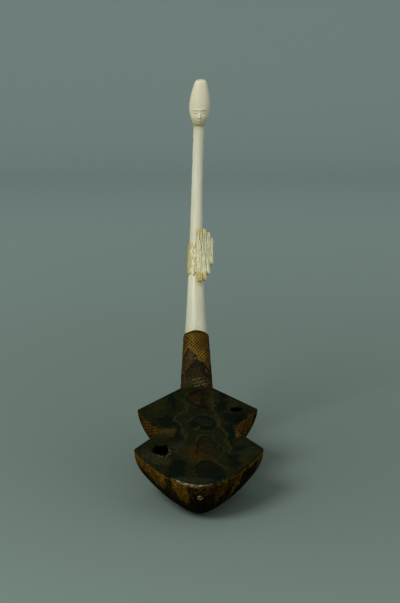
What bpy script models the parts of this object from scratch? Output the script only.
"""Arched harp: a hide-covered wooden soundbox with an ivory neck plugged into its socket.

Metres, +Z up. +Y runs from the tail of the soundbox to the neck and +X is on the right of a
viewer at the tail. The origin is the middle of the foot under the keel, which the harp stands on.

The pieces are drawn in a box frame, where the table is level and its tail edge is the zero point.
The empty named box_frame then tips them all, so that the keel is level and the table slopes.
"""
import math

import bmesh
import bpy
from mathutils import Vector

# Stock and clearances
GAP = 0.0003
SKIN = 0.0012
HIDE = 0.0018

# Outline of the soundbox on its table, measured from the tail
BOX_LENGTH = 0.317
TIP_HALF_WIDTH = 0.088
TIP_FROM_TAIL = 0.1065
WAIST_HALF_WIDTH = 0.053
WAIST_FROM_TAIL = 0.163
SHOULDER_HALF_WIDTH = 0.0866
SHOULDER_FROM_TAIL = 0.238
CORNER_CUT = 0.0035
TAIL_ROUNDNESS = 1.85

# Hull of the soundbox
TABLE_SLOPE = math.radians(8)
TAIL_DEPTH = 0.054
KEEL_HALF_WIDTH = 0.028
KEEL_END_HALF_WIDTH = 0.021
KEEL_FROM_TAIL = 0.048
KEEL_PAST_JUNCTION = 0.008
FOOT_INSET = 0.003
FOOT_PROUD = 0.0006
STERN_BULGE = 0.020
TAIL_FULLNESS = 2.2
NECK_FULLNESS = 1.6
WALL = 0.008
FLOOR = 0.010
CAVITY_REACH = 0.39
CAVITY_RAKE = 0.020

# Socket for the neck, measured along its axis
SOCKET_RISE = math.radians(47)
SOCKET_LENGTH = 0.095
SOCKET_ROOT = 0.045
SOCKET_BASE_RADIUS = 0.0235
SOCKET_RIM_RADIUS = 0.0178
SLEEVE_LIP = 0.001

# Neck and head, measured along the arch from the rim of the socket
NECK_LENGTH = 0.336
NECK_TIP_RISE = math.radians(92)
NECK_RIM_RADIUS = 0.0176
NECK_TOP_RADIUS = 0.0086
NECK_TAPER = 2.65
NECK_SIDE_LEAN = 0.0096
TANG_LENGTH = 0.085
TANG_RIM_RADIUS = 0.0160
TANG_FOOT_RADIUS = 0.0115
HEAD_LENGTH = 0.071
HEAD_HALF_WIDTH = 0.0165
NOSE_HEIGHT = 0.0022
NOSE_HALF_WIDTH = 0.0032

# Holes for the tuning pegs, which are lost
PEG_HOLES = 5
PEG_HOLE_RADIUS = 0.0024
PEG_HOLES_START = 0.180
PEG_HOLES_STEP = 0.033

# Holder under the table that the strings are knotted to
HOLDER_HALF_WIDTH = 0.005
HOLDER_THICKNESS = 0.006
HOLDER_TAIL_WALL = 0.004
HOLDER_SEAT = 0.012
STRING_HOLES = 5
STRING_HOLE_RADIUS = 0.0012
STRING_HOLES_START = 0.090
STRING_HOLES_STEP = 0.030

# Openings in the table
SOUND_HOLE_RADIUS = 0.0098
SOUND_HOLE_SIDE = 0.0565
SOUND_HOLE_FROM_TAIL = 0.242
TEAR_SIDE = -0.0525
TEAR_FROM_TAIL = 0.106
TEAR_HALF_WIDTH = 0.0135
TEAR_HALF_LENGTH = 0.0165
TEAR_NOTCH = 0.20
TEAR_NOTCHES = 5

# Pin in the tail of the hull
PIN_SHARE = 0.30
PIN_HEAD_RADIUS = 0.0034
PIN_HEAD_HEIGHT = 0.0020
PIN_DISH = 0.0010
PIN_SHANK_RADIUS = 0.0015
PIN_SHANK_LENGTH = 0.008

# Raw hide round the neck: a band and the folded strips beside it
BAND_START = 0.098
BAND_LENGTH = 0.052
STRIP_THICKNESS = 0.0082
STRIP_CURL = 0.0028
FIRST_STRIP_TURN = math.radians(14)
STRIP_LINE_TURN = math.radians(24)
# The strips get shorter and narrower from the first one to the last
STRIP_COUNT = 4
STRIP_START = 0.0840
STRIP_RISE = 0.0034
STRIP_LENGTH = 0.088
STRIP_SHORTENING = 0.0051
STRIP_WIDTH = 0.0079
STRIP_NARROWING = 0.0009

# Facets
HULL_RINGS = 11
TAIL_POINTS = 9
ROUND_POINTS = 32
DRILL_POINTS = 12
NECK_STATIONS = 26
HEAD_STATIONS = 18
BAND_STATIONS = 4
STRIP_POINTS = 12
STRIP_STATIONS = 11
STRIP_END_SHARE = 0.06
STRIP_BLUNTNESS = 0.26

# The head from chin to crown: share of its length, then half width, front and back in half widths
CHIN_SHARE = NECK_TOP_RADIUS / HEAD_HALF_WIDTH
HEAD_SECTIONS = (
    (0.00, CHIN_SHARE, CHIN_SHARE, CHIN_SHARE),
    (0.05, 0.62, 0.80, 0.56),
    (0.12, 0.73, 0.95, 0.66),
    (0.25, 0.91, 0.98, 0.88),
    (0.40, 1.00, 0.95, 1.06),
    (0.55, 0.96, 0.86, 1.15),
    (0.70, 0.83, 0.70, 1.10),
    (0.85, 0.66, 0.49, 0.91),
    (0.95, 0.53, 0.34, 0.72),
    (1.00, 0.45, 0.26, 0.60),
)
NOSE_BASE_SHARE = 0.19
NOSE_ROOT_SHARE = 0.36

SKIN_REACH = GAP + SKIN
CLEAR_OF_SKIN = SKIN_REACH + GAP
FOOT_REACH = SKIN_REACH + FOOT_PROUD
SHOULDER_RUN = BOX_LENGTH - SHOULDER_FROM_TAIL
CAVITY_END = SHOULDER_FROM_TAIL + SHOULDER_RUN * CAVITY_REACH
SOCKET_AXIS = Vector((0.0, math.cos(SOCKET_RISE), math.sin(SOCKET_RISE)))
SOCKET_BASE = Vector((0.0, BOX_LENGTH + SOCKET_BASE_RADIUS * math.sin(SOCKET_RISE),
                      -SOCKET_BASE_RADIUS * math.cos(SOCKET_RISE)))
SOCKET_RIM = SOCKET_BASE + SOCKET_AXIS * SOCKET_LENGTH
ARCH_LENGTH = NECK_LENGTH + HEAD_LENGTH
ARCH_BEND = (NECK_TIP_RISE - SOCKET_RISE) / ARCH_LENGTH


def clear_scene():
    """Remove every object, so that the script gives the same model each time."""
    for item in list(bpy.data.objects):
        bpy.data.objects.remove(item)


def make_collection(name):
    """A new collection linked to the scene."""
    collection = bpy.data.collections.new(name)
    bpy.context.scene.collection.children.link(collection)
    return collection


def make_material(name, color, roughness):
    """A plain Principled material."""
    material = bpy.data.materials.new(name)
    material.use_nodes = True
    shader = material.node_tree.nodes["Principled BSDF"]
    shader.inputs["Base Color"].default_value = (*color, 1.0)
    shader.inputs["Roughness"].default_value = roughness
    shader.inputs["Metallic"].default_value = 0.0
    return material


clear_scene()
PARTS = make_collection("arched_harp")
CUTTERS = make_collection("arched_harp_cutters")
WOOD = make_material("wood", (0.060, 0.034, 0.018), 0.65)
TABLE_HIDE = make_material("table_hide", (0.014, 0.013, 0.006), 0.50)
FLANK_HIDE = make_material("flank_hide", (0.075, 0.038, 0.008), 0.50)
SLEEVE_HIDE = make_material("sleeve_hide", (0.085, 0.060, 0.015), 0.50)
IVORY = make_material("ivory", (0.68, 0.63, 0.48), 0.38)
RAW_HIDE = make_material("raw_hide", (0.55, 0.42, 0.22), 0.55)
PIN_WOOD = make_material("pin_wood", (0.36, 0.25, 0.10), 0.60)


def make_frame():
    """The empty that tips the box frame: foot level, its middle at the world origin."""
    middle = (hull_point(0.0, 1.0, FOOT_REACH) + hull_point(BOX_LENGTH, 1.0, FOOT_REACH)) / 2
    frame = bpy.data.objects.new("box_frame", None)
    PARTS.objects.link(frame)
    cosine = math.cos(TABLE_SLOPE)
    sine = math.sin(TABLE_SLOPE)
    frame.rotation_euler = (TABLE_SLOPE, 0.0, 0.0)
    frame.location = (0.0, middle.z * sine - middle.y * cosine, -middle.y * sine - middle.z * cosine)
    return frame


def add_object(name, mesh, material=None):
    """An object in the box frame: a part when it has a material, otherwise a hidden cutter."""
    item = bpy.data.objects.new(name, mesh)
    item.parent = FRAME
    if material is None:
        CUTTERS.objects.link(item)
        item.hide_render = True
        item.display_type = "WIRE"
    else:
        PARTS.objects.link(item)
        mesh.materials.append(material)
        mesh.shade_smooth()
        mesh.set_sharp_from_angle(angle=math.radians(35))
    return item


def combine(item, cutter, operation="DIFFERENCE"):
    """Add an exact Boolean with another object."""
    modifier = item.modifiers.new(cutter.name, "BOOLEAN")
    modifier.operation = operation
    modifier.object = cutter
    modifier.solver = "EXACT"


def loft(name, rings, material=None, tube=False):
    """A closed skin over rings of equal count: capped at both ends, or joined end to end as a tube.

    Every quad is split along the same diagonal, so that lofts nested in each other keep their gap.
    """
    shape = bmesh.new()
    rows = [[shape.verts.new(point) for point in ring] for ring in rings]
    count = len(rows[0])
    pairs = list(zip(rows, rows[1:]))
    if tube:
        pairs.append((rows[-1], rows[0]))
    for lower, upper in pairs:
        for index in range(count):
            after = (index + 1) % count
            shape.faces.new((lower[index], lower[after], upper[after]))
            shape.faces.new((lower[index], upper[after], upper[index]))
    if not tube:
        shape.faces.new(rows[0])
        shape.faces.new(rows[-1])
    bmesh.ops.recalc_face_normals(shape, faces=shape.faces)
    mesh = bpy.data.meshes.new(name)
    shape.to_mesh(mesh)
    shape.free()
    return add_object(name, mesh, material)


def box(name, low, high, material=None):
    """A block between two corners in the box frame."""
    shape = bmesh.new()
    bmesh.ops.create_cube(shape, size=1.0)
    low = Vector(low)
    high = Vector(high)
    bmesh.ops.scale(shape, vec=high - low, verts=shape.verts)
    mesh = bpy.data.meshes.new(name)
    shape.to_mesh(mesh)
    shape.free()
    item = add_object(name, mesh, material)
    item.location = (low + high) / 2
    return item


def cone(name, start, end, start_radius, end_radius, material=None, sides=ROUND_POINTS):
    """A cone frustum between two points in the box frame."""
    shape = bmesh.new()
    along = end - start
    bmesh.ops.create_cone(shape, cap_ends=True, segments=sides, radius1=start_radius,
                          radius2=end_radius, depth=along.length)
    mesh = bpy.data.meshes.new(name)
    shape.to_mesh(mesh)
    shape.free()
    item = add_object(name, mesh, material)
    item.rotation_euler = along.to_track_quat("Z", "Y").to_euler()
    item.location = (start + end) / 2
    return item


def drill(name, start, end, radius):
    """A cutter for a small round hole."""
    return cone(name, start, end, radius, radius, sides=DRILL_POINTS)


def curve_mesh(name, outlines, thickness, bottom, material):
    """A flat plate with holes, from a filled 2D curve, as a mesh that can be cut."""
    curve = bpy.data.curves.new(name + "_outline", "CURVE")
    curve.dimensions = "2D"
    curve.fill_mode = "BOTH"
    curve.extrude = thickness / 2
    for outline in outlines:
        spline = curve.splines.new("POLY")
        spline.points.add(len(outline) - 1)
        for point, place in zip(spline.points, outline):
            point.co = (place.x, place.y, 0.0, 1.0)
        spline.use_cyclic_u = True
    guide = bpy.data.objects.new(curve.name, curve)
    CUTTERS.objects.link(guide)
    evaluated = guide.evaluated_get(bpy.context.evaluated_depsgraph_get())
    mesh = bpy.data.meshes.new_from_object(evaluated)
    mesh.name = name
    shape = bmesh.new()
    shape.from_mesh(mesh)
    bmesh.ops.remove_doubles(shape, verts=shape.verts, dist=GAP / 10)
    bmesh.ops.recalc_face_normals(shape, faces=shape.faces)
    shape.to_mesh(mesh)
    shape.free()
    bpy.data.objects.remove(guide)
    item = add_object(name, mesh, material)
    item.location.z = bottom + thickness / 2
    return item


# Soundbox


def cut_corner(before, corner, after):
    """Three points that round a corner of an outline."""
    first = corner + (before - corner).normalized() * CORNER_CUT
    last = corner + (after - corner).normalized() * CORNER_CUT
    return [first, (first + corner * 2 + last) / 4, last]


def box_outline(inset, length, end_half_width):
    """The waisted outline of the table, drawn in by an inset, as far as a length from the tail."""
    tail_length = TIP_FROM_TAIL - inset
    tip_half_width = TIP_HALF_WIDTH - inset
    tail = []
    for index in range(TAIL_POINTS):
        share = index / TAIL_POINTS
        tail.append(Vector((tip_half_width * share, inset + tail_length * share ** TAIL_ROUNDNESS)))
    tip = Vector((tip_half_width, TIP_FROM_TAIL))
    waist = Vector((WAIST_HALF_WIDTH - inset, WAIST_FROM_TAIL))
    shoulder = Vector((SHOULDER_HALF_WIDTH - inset, SHOULDER_FROM_TAIL))
    end = Vector((end_half_width, length))
    right = tail + cut_corner(tail[-1], tip, waist) + [(tip + waist) / 2]
    right += cut_corner(tip, waist, shoulder) + [(waist + shoulder) / 2]
    right += cut_corner(waist, shoulder, end) + [(shoulder + end) / 2, end]
    left = [Vector((-point.x, point.y)) for point in reversed(right[1:])]
    return right + left


def grown(outline, distance):
    """An outline moved outwards by a distance, corner by corner."""
    moved = []
    for index, point in enumerate(outline):
        arriving = (point - outline[index - 1]).normalized()
        leaving = (outline[(index + 1) % len(outline)] - point).normalized()
        outward = Vector((arriving.y + leaving.y, -arriving.x - leaving.x)).normalized()
        squareness = outward.x * leaving.y - outward.y * leaving.x
        moved.append(point + outward * (distance / squareness))
    return moved


def hull_depth(y, extra):
    """Depth of the keel under the table at a distance from the tail: its flat is a sloping plane."""
    return TAIL_DEPTH + extra + y * math.tan(TABLE_SLOPE)


def hull_end(share):
    """Where the hull ends towards the neck, at a share of its depth."""
    return BOX_LENGTH + STERN_BULGE * 4 * share * (1 - share) + KEEL_PAST_JUNCTION * share ** 2


def cavity_end(share):
    """Where the hollow ends towards the neck, at a share of its depth."""
    return CAVITY_END - CAVITY_RAKE * share ** 2


def tail_start(share):
    """How far the hull is drawn in at the tail, at a share of its depth."""
    return KEEL_FROM_TAIL * (1 - math.sqrt(max(0.0, 1 - share ** 2)))


def hull_point(y, share, extra, length=BOX_LENGTH, end=hull_end):
    """A point of the hull's middle line, carried from the table to a share of the depth."""
    start = tail_start(share)
    moved = start + y * (end(share) - start) / length
    return Vector((0.0, moved, -share * hull_depth(moved, extra)))


def keel_share(y):
    """Share of the table's width that the keel has: past the shoulders it narrows less than the table."""
    past_shoulder = max(0.0, y - SHOULDER_FROM_TAIL) / SHOULDER_RUN
    start = KEEL_HALF_WIDTH / TIP_HALF_WIDTH
    return start + (KEEL_END_HALF_WIDTH / SOCKET_BASE_RADIUS - start) * past_shoulder


def hull_width(y, share):
    """Share of the table's width at a share of the depth: fuller at the tail than near the neck."""
    fullness = TAIL_FULLNESS + (NECK_FULLNESS - TAIL_FULLNESS) * y / BOX_LENGTH
    return (1 - (1 - keel_share(y) ** fullness) * share ** fullness) ** (1 / fullness)


def hull(name, outline, extra, top=0.0, length=BOX_LENGTH, end=hull_end, material=None):
    """The rounded hull under an outline, with its top face raised to a height over the table."""
    rings = []
    if top:
        rings.append([Vector((point.x, point.y, top)) for point in outline])
    for step in range(HULL_RINGS + 1):
        share = math.sin(math.pi / 2 * step / HULL_RINGS)
        ring = []
        for point in outline:
            place = hull_point(point.y, share, extra, length, end)
            place.x = point.x * hull_width(point.y, share)
            ring.append(place)
        rings.append(ring)
    return loft(name, rings, material)


def keel_outline(inset):
    """The outline of the flat under the keel, drawn in by an inset."""
    outline = []
    for point in box_outline(0.0, BOX_LENGTH, SOCKET_BASE_RADIUS):
        place = hull_point(point.y, 1.0, 0.0)
        outline.append(Vector((point.x * hull_width(point.y, 1.0), place.y)))
    return grown(outline, -inset)


def foot(name, inset):
    """The flat foot of the keel, from inside the floor of the box to the surface it stands on."""
    outline = keel_outline(inset)
    rings = []
    for extra in (-FLOOR / 2, FOOT_REACH):
        rings.append([Vector((point.x, point.y, -hull_depth(point.y, extra))) for point in outline])
    return loft(name, rings)


def socket_radius(distance):
    """Outer radius of the wooden socket at a distance from its base."""
    return SOCKET_BASE_RADIUS + (SOCKET_RIM_RADIUS - SOCKET_BASE_RADIUS) * distance / SOCKET_LENGTH


def socket_cone(name, extra, above=0.0, below=SOCKET_ROOT, material=None):
    """The tapered socket grown by an amount, from under its base to a height over its rim."""
    start = SOCKET_BASE - SOCKET_AXIS * below
    end = SOCKET_RIM + SOCKET_AXIS * above
    return cone(name, start, end, socket_radius(-below) + extra,
                socket_radius(SOCKET_LENGTH + above) + extra, material)


def tang_radius(distance):
    """Radius of the tang at a distance under the rim of the socket."""
    return TANG_RIM_RADIUS + (TANG_FOOT_RADIUS - TANG_RIM_RADIUS) * distance / TANG_LENGTH


def bore_cutter():
    """The tapered bore that the tang is pushed into."""
    depth = TANG_LENGTH + GAP
    return cone("bore_cutter", SOCKET_RIM - SOCKET_AXIS * depth, SOCKET_RIM + SOCKET_AXIS * GAP,
                tang_radius(depth) + GAP, tang_radius(-GAP) + GAP)


def holder_end():
    """Where the string holder ends, let into the block behind the hollow."""
    return CAVITY_END + HOLDER_SEAT


def make_soundbox():
    """The wooden trough with its foot and socket, hollowed, bored and notched for the string holder."""
    item = hull("soundbox", box_outline(0.0, BOX_LENGTH, SOCKET_BASE_RADIUS), 0.0, material=WOOD)
    combine(item, foot("keel_foot", FOOT_INSET), "UNION")
    combine(item, socket_cone("socket_body", 0.0), "UNION")
    end_half_width = SHOULDER_HALF_WIDTH + (SOCKET_BASE_RADIUS - SHOULDER_HALF_WIDTH) * CAVITY_REACH
    hollow = box_outline(WALL, CAVITY_END, end_half_width - WALL)
    combine(item, hull("cavity_cutter", hollow, -FLOOR, WALL, CAVITY_END, cavity_end))
    combine(item, bore_cutter())
    notch = box("notch_cutter", (-HOLDER_HALF_WIDTH - GAP, HOLDER_TAIL_WALL - GAP, -HOLDER_THICKNESS - GAP),
                (HOLDER_HALF_WIDTH + GAP, holder_end() + GAP, GAP))
    combine(item, notch)
    combine(item, pin_cutter("pin_cutter_wood"))
    return item


def make_string_holder():
    """The batten under the table, flush with the rim, with a hole for each string."""
    item = box("string_holder", (-HOLDER_HALF_WIDTH, HOLDER_TAIL_WALL, -HOLDER_THICKNESS),
               (HOLDER_HALF_WIDTH, holder_end(), 0.0), WOOD)
    through = Vector((0.0, 0.0, 2 * HOLDER_THICKNESS))
    for index in range(STRING_HOLES):
        place = Vector((0.0, STRING_HOLES_START + STRING_HOLES_STEP * index, 0.0))
        combine(item, drill("string_drill_%d" % (index + 1), place - through, place + through,
                            STRING_HOLE_RADIUS))
    return item


# Hides


def circle(side, along, radius, count):
    """A round outline."""
    points = []
    for index in range(count):
        angle = 2 * math.pi * index / count
        points.append(Vector((side + radius * math.cos(angle), along + radius * math.sin(angle))))
    return points


def tear():
    """The torn hole: an oval whose edge is notched where the hide split."""
    points = []
    count = 4 * TEAR_NOTCHES
    for index in range(count):
        angle = 2 * math.pi * index / count
        notch = 1 - TEAR_NOTCH * (1 + math.sin(TEAR_NOTCHES * angle + math.cos(2 * angle))) / 2
        points.append(Vector((TEAR_SIDE + TEAR_HALF_WIDTH * notch * math.cos(angle),
                              TEAR_FROM_TAIL + TEAR_HALF_LENGTH * notch * math.sin(angle))))
    return points


def make_front_skin():
    """The hide over the table, with its sound hole, its tear and a hole for each string."""
    outline = grown(box_outline(0.0, BOX_LENGTH, SOCKET_BASE_RADIUS), SKIN_REACH)
    holes = [circle(SOUND_HOLE_SIDE, SOUND_HOLE_FROM_TAIL, SOUND_HOLE_RADIUS, ROUND_POINTS // 2), tear()]
    for index in range(STRING_HOLES):
        along = STRING_HOLES_START + STRING_HOLES_STEP * index
        holes.append(circle(0.0, along, STRING_HOLE_RADIUS, ROUND_POINTS // 4))
    item = curve_mesh("front_skin", [outline] + holes, SKIN, GAP, TABLE_HIDE)
    combine(item, socket_cone("table_end_cutter", GAP))
    return item


def make_back_skin():
    """The hide over the hull, open at the table, round the socket and round the foot."""
    outline = box_outline(0.0, BOX_LENGTH, SOCKET_BASE_RADIUS)
    item = hull("back_skin", grown(outline, SKIN_REACH), SKIN_REACH, material=FLANK_HIDE)
    combine(item, hull("hull_cutter", grown(outline, GAP), GAP, WALL))
    combine(item, socket_cone("stern_cutter", GAP))
    combine(item, foot("foot_cutter", FOOT_INSET - GAP))
    combine(item, pin_cutter("pin_cutter_skin"))
    return item


def make_socket_sleeve():
    """The hide round the socket, its foot cut to sit on the two hides of the box."""
    item = socket_cone("socket_sleeve", SKIN_REACH, SLEEVE_LIP, material=SLEEVE_HIDE)
    combine(item, socket_cone("sleeve_bore_cutter", GAP, 2 * SLEEVE_LIP, 2 * SOCKET_ROOT))
    outline = grown(box_outline(0.0, BOX_LENGTH, SOCKET_BASE_RADIUS), CLEAR_OF_SKIN)
    combine(item, hull("sleeve_foot_cutter", outline, CLEAR_OF_SKIN, CLEAR_OF_SKIN))
    return item


# Pin in the tail


def pin_frame():
    """Seat of the pin on the hide at the tail, and the direction out of the hull there."""
    seat = hull_point(0.0, PIN_SHARE, CLEAR_OF_SKIN)
    inward = KEEL_FROM_TAIL * PIN_SHARE / math.sqrt(1 - PIN_SHARE ** 2)
    downward = hull_depth(seat.y, 0.0) + PIN_SHARE * inward * math.tan(TABLE_SLOPE)
    outward = Vector((0.0, -downward, -inward)).normalized()
    seat.y -= CLEAR_OF_SKIN
    return seat, outward


def pin_cutter(name):
    """The hole for the pin's shank."""
    seat, outward = pin_frame()
    return drill(name, seat - outward * (PIN_SHANK_LENGTH + GAP), seat + outward * PIN_SHANK_LENGTH,
                 PIN_SHANK_RADIUS + GAP)


def make_tail_pin():
    """A turned pin with a dished round head."""
    half = PIN_HEAD_RADIUS / 2
    profile = ((0.0, PIN_HEAD_HEIGHT - PIN_DISH), (half, PIN_HEAD_HEIGHT - PIN_DISH / 2),
               (half + PIN_DISH / 2, PIN_HEAD_HEIGHT), (PIN_HEAD_RADIUS, PIN_HEAD_HEIGHT / 2),
               (PIN_HEAD_RADIUS - PIN_DISH / 2, 0.0), (PIN_SHANK_RADIUS, 0.0),
               (PIN_SHANK_RADIUS, -PIN_SHANK_LENGTH), (0.0, -PIN_SHANK_LENGTH))
    mesh = bpy.data.meshes.new("tail_pin")
    mesh.from_pydata([(x, 0.0, z) for x, z in profile], [(i, i + 1) for i in range(len(profile) - 1)], [])
    item = add_object("tail_pin", mesh, PIN_WOOD)
    screw = item.modifiers.new("turn", "SCREW")
    screw.steps = DRILL_POINTS
    screw.render_steps = screw.steps
    screw.use_merge_vertices = True
    screw.merge_threshold = GAP / 10
    seat, outward = pin_frame()
    item.location = seat
    item.rotation_euler = outward.to_track_quat("Z", "Y").to_euler()
    return item


# Neck


def neck_frame(distance):
    """Centre of the arch at a distance over the rim, and the direction of its hollow side there."""
    if distance <= 0:
        rise = SOCKET_RISE
        centre = SOCKET_RIM + SOCKET_AXIS * distance
    else:
        rise = SOCKET_RISE + ARCH_BEND * distance
        centre = Vector((NECK_SIDE_LEAN * (distance / ARCH_LENGTH) ** 2,
                         SOCKET_RIM.y + (math.sin(rise) - math.sin(SOCKET_RISE)) / ARCH_BEND,
                         SOCKET_RIM.z - (math.cos(rise) - math.cos(SOCKET_RISE)) / ARCH_BEND))
    return centre, Vector((0.0, -math.sin(rise), math.cos(rise)))


def neck_place(distance, side, forward):
    """A point beside the arch: to the right, and towards its hollow side."""
    centre, front = neck_frame(distance)
    return centre + Vector((side, 0.0, 0.0)) + front * forward


def neck_radius(distance):
    """Radius of the tapering neck over the rim."""
    share = max(0.0, 1 - distance / NECK_LENGTH)
    return NECK_TOP_RADIUS + (NECK_RIM_RADIUS - NECK_TOP_RADIUS) * share ** NECK_TAPER


def neck_ring(distance, half_width, front, back, bump=0.0):
    """One closed ring round the arch, with its own reach to the front and the back."""
    ring = []
    for index in range(ROUND_POINTS):
        angle = 2 * math.pi * index / ROUND_POINTS
        side = half_width * math.cos(angle)
        forward = math.sin(angle) * (front if math.sin(angle) > 0 else back)
        if math.sin(angle) > 0:
            forward += bump * math.exp(-(side / NOSE_HALF_WIDTH) ** 2)
        ring.append(neck_place(distance, side, forward))
    return ring


def head_section(share):
    """Half width, front and back of the head at a share of its length, smooth between its rows."""
    last = len(HEAD_SECTIONS) - 1
    index = max(i for i in range(last) if HEAD_SECTIONS[i][0] <= share)
    before, start, end, after = (HEAD_SECTIONS[min(max(index + k, 0), last)] for k in (-1, 0, 1, 2))
    local = (share - start[0]) / (end[0] - start[0])
    sizes = []
    for column in (1, 2, 3):
        run = end[0] - start[0]
        leave = (end[column] - before[column]) / (end[0] - before[0]) * run
        arrive = (after[column] - start[column]) / (after[0] - start[0]) * run
        value = (start[column] * (1 + 2 * local) * (1 - local) ** 2 + leave * local * (1 - local) ** 2
                 + end[column] * local ** 2 * (3 - 2 * local) + arrive * local ** 2 * (local - 1))
        sizes.append(value * HEAD_HALF_WIDTH)
    return sizes


def nose_bump(share):
    """Height of the nose at a share of the head: a wedge that grows from its root to its base."""
    local = (NOSE_ROOT_SHARE - share) / (NOSE_ROOT_SHARE - NOSE_BASE_SHARE)
    return NOSE_HEIGHT * local if 0 < local <= 1 else 0.0


def make_neck():
    """The ivory neck with its tang, its peg holes and its head, all one piece.

    A shoulder over the tang stands on the rim of the socket.
    """
    rings = []
    for distance in (-TANG_LENGTH, GAP):
        radius = tang_radius(-distance)
        rings.append(neck_ring(distance, radius, radius, radius))
    for index in range(NECK_STATIONS):
        distance = GAP + (NECK_LENGTH - GAP) * index / NECK_STATIONS
        radius = neck_radius(distance)
        rings.append(neck_ring(distance, radius, radius, radius))
    for index in range(HEAD_STATIONS + 1):
        share = index / HEAD_STATIONS
        rings.append(neck_ring(NECK_LENGTH + HEAD_LENGTH * share, *head_section(share), nose_bump(share)))
    item = loft("neck", rings, IVORY)
    reach = 2 * NECK_RIM_RADIUS
    for index in range(PEG_HOLES):
        distance = PEG_HOLES_START + PEG_HOLES_STEP * index
        combine(item, drill("peg_drill_%d" % (index + 1), neck_place(distance, -reach, 0.0),
                            neck_place(distance, reach, 0.0), PEG_HOLE_RADIUS))
    return item


# Raw hide on the neck


def band_ring(distance, extra):
    """A ring round the neck for the band, at a height over the ivory."""
    radius = neck_radius(distance) + extra
    return neck_ring(distance, radius, radius, radius)


def make_hide_band():
    """The stiff band of raw hide that goes round the neck."""
    places = [BAND_START + BAND_LENGTH * index / BAND_STATIONS for index in range(BAND_STATIONS + 1)]
    outer = [band_ring(place, GAP + HIDE) for place in places]
    inner = [band_ring(place, GAP) for place in reversed(places)]
    return loft("hide_band", outer + inner, RAW_HIDE, tube=True)


def strip_seat(distance):
    """Distance from the middle of the neck to the middle of a strip that lies on the band."""
    on_band = min(max(distance, BAND_START), BAND_START + BAND_LENGTH)
    return neck_radius(on_band) + GAP + HIDE + GAP + STRIP_THICKNESS / 2


def strip_ring(distance, along_line, lift, half_width, half_thickness):
    """One closed oval ring of a folded strip, at a place along the line that the strips stand in."""
    seat = strip_seat(distance)
    cosine = math.cos(STRIP_LINE_TURN)
    sine = math.sin(STRIP_LINE_TURN)
    ring = []
    for index in range(STRIP_POINTS):
        angle = 2 * math.pi * index / STRIP_POINTS
        across = along_line + half_width * math.cos(angle)
        out = lift + half_thickness * math.sin(angle)
        side = seat * math.sin(FIRST_STRIP_TURN) + across * cosine + out * sine
        forward = seat * math.cos(FIRST_STRIP_TURN) - across * sine + out * cosine
        ring.append(neck_place(distance, side, forward))
    return ring


def make_hide_strip(number, along_line, start, length, width):
    """One folded strip: an oval roll with rounded ends that curl away from the neck."""
    rings = []
    for index in range(STRIP_STATIONS):
        share = index / (STRIP_STATIONS - 1)
        turn = math.pi * (STRIP_END_SHARE + (1 - 2 * STRIP_END_SHARE) * share)
        swell = math.sin(turn) ** STRIP_BLUNTNESS
        lift = STRIP_CURL * (2 * share - 1) ** 2
        rings.append(strip_ring(start + length * share, along_line, lift,
                                width / 2 * swell, STRIP_THICKNESS / 2 * swell))
    return loft("hide_strip_%d" % number, rings, RAW_HIDE)


def make_hide_strips():
    """The folded strips, side by side from the front of the band to its right."""
    along_line = -STRIP_WIDTH / 2
    for index in range(STRIP_COUNT):
        width = STRIP_WIDTH - STRIP_NARROWING * index
        start = STRIP_START + STRIP_RISE * index ** 2
        length = STRIP_LENGTH - STRIP_SHORTENING * index ** 2
        make_hide_strip(index + 1, along_line + width / 2, start, length, width)
        along_line += width + GAP


FRAME = make_frame()
make_soundbox()
make_string_holder()
make_front_skin()
make_back_skin()
make_socket_sleeve()
make_tail_pin()
make_neck()
make_hide_band()
make_hide_strips()
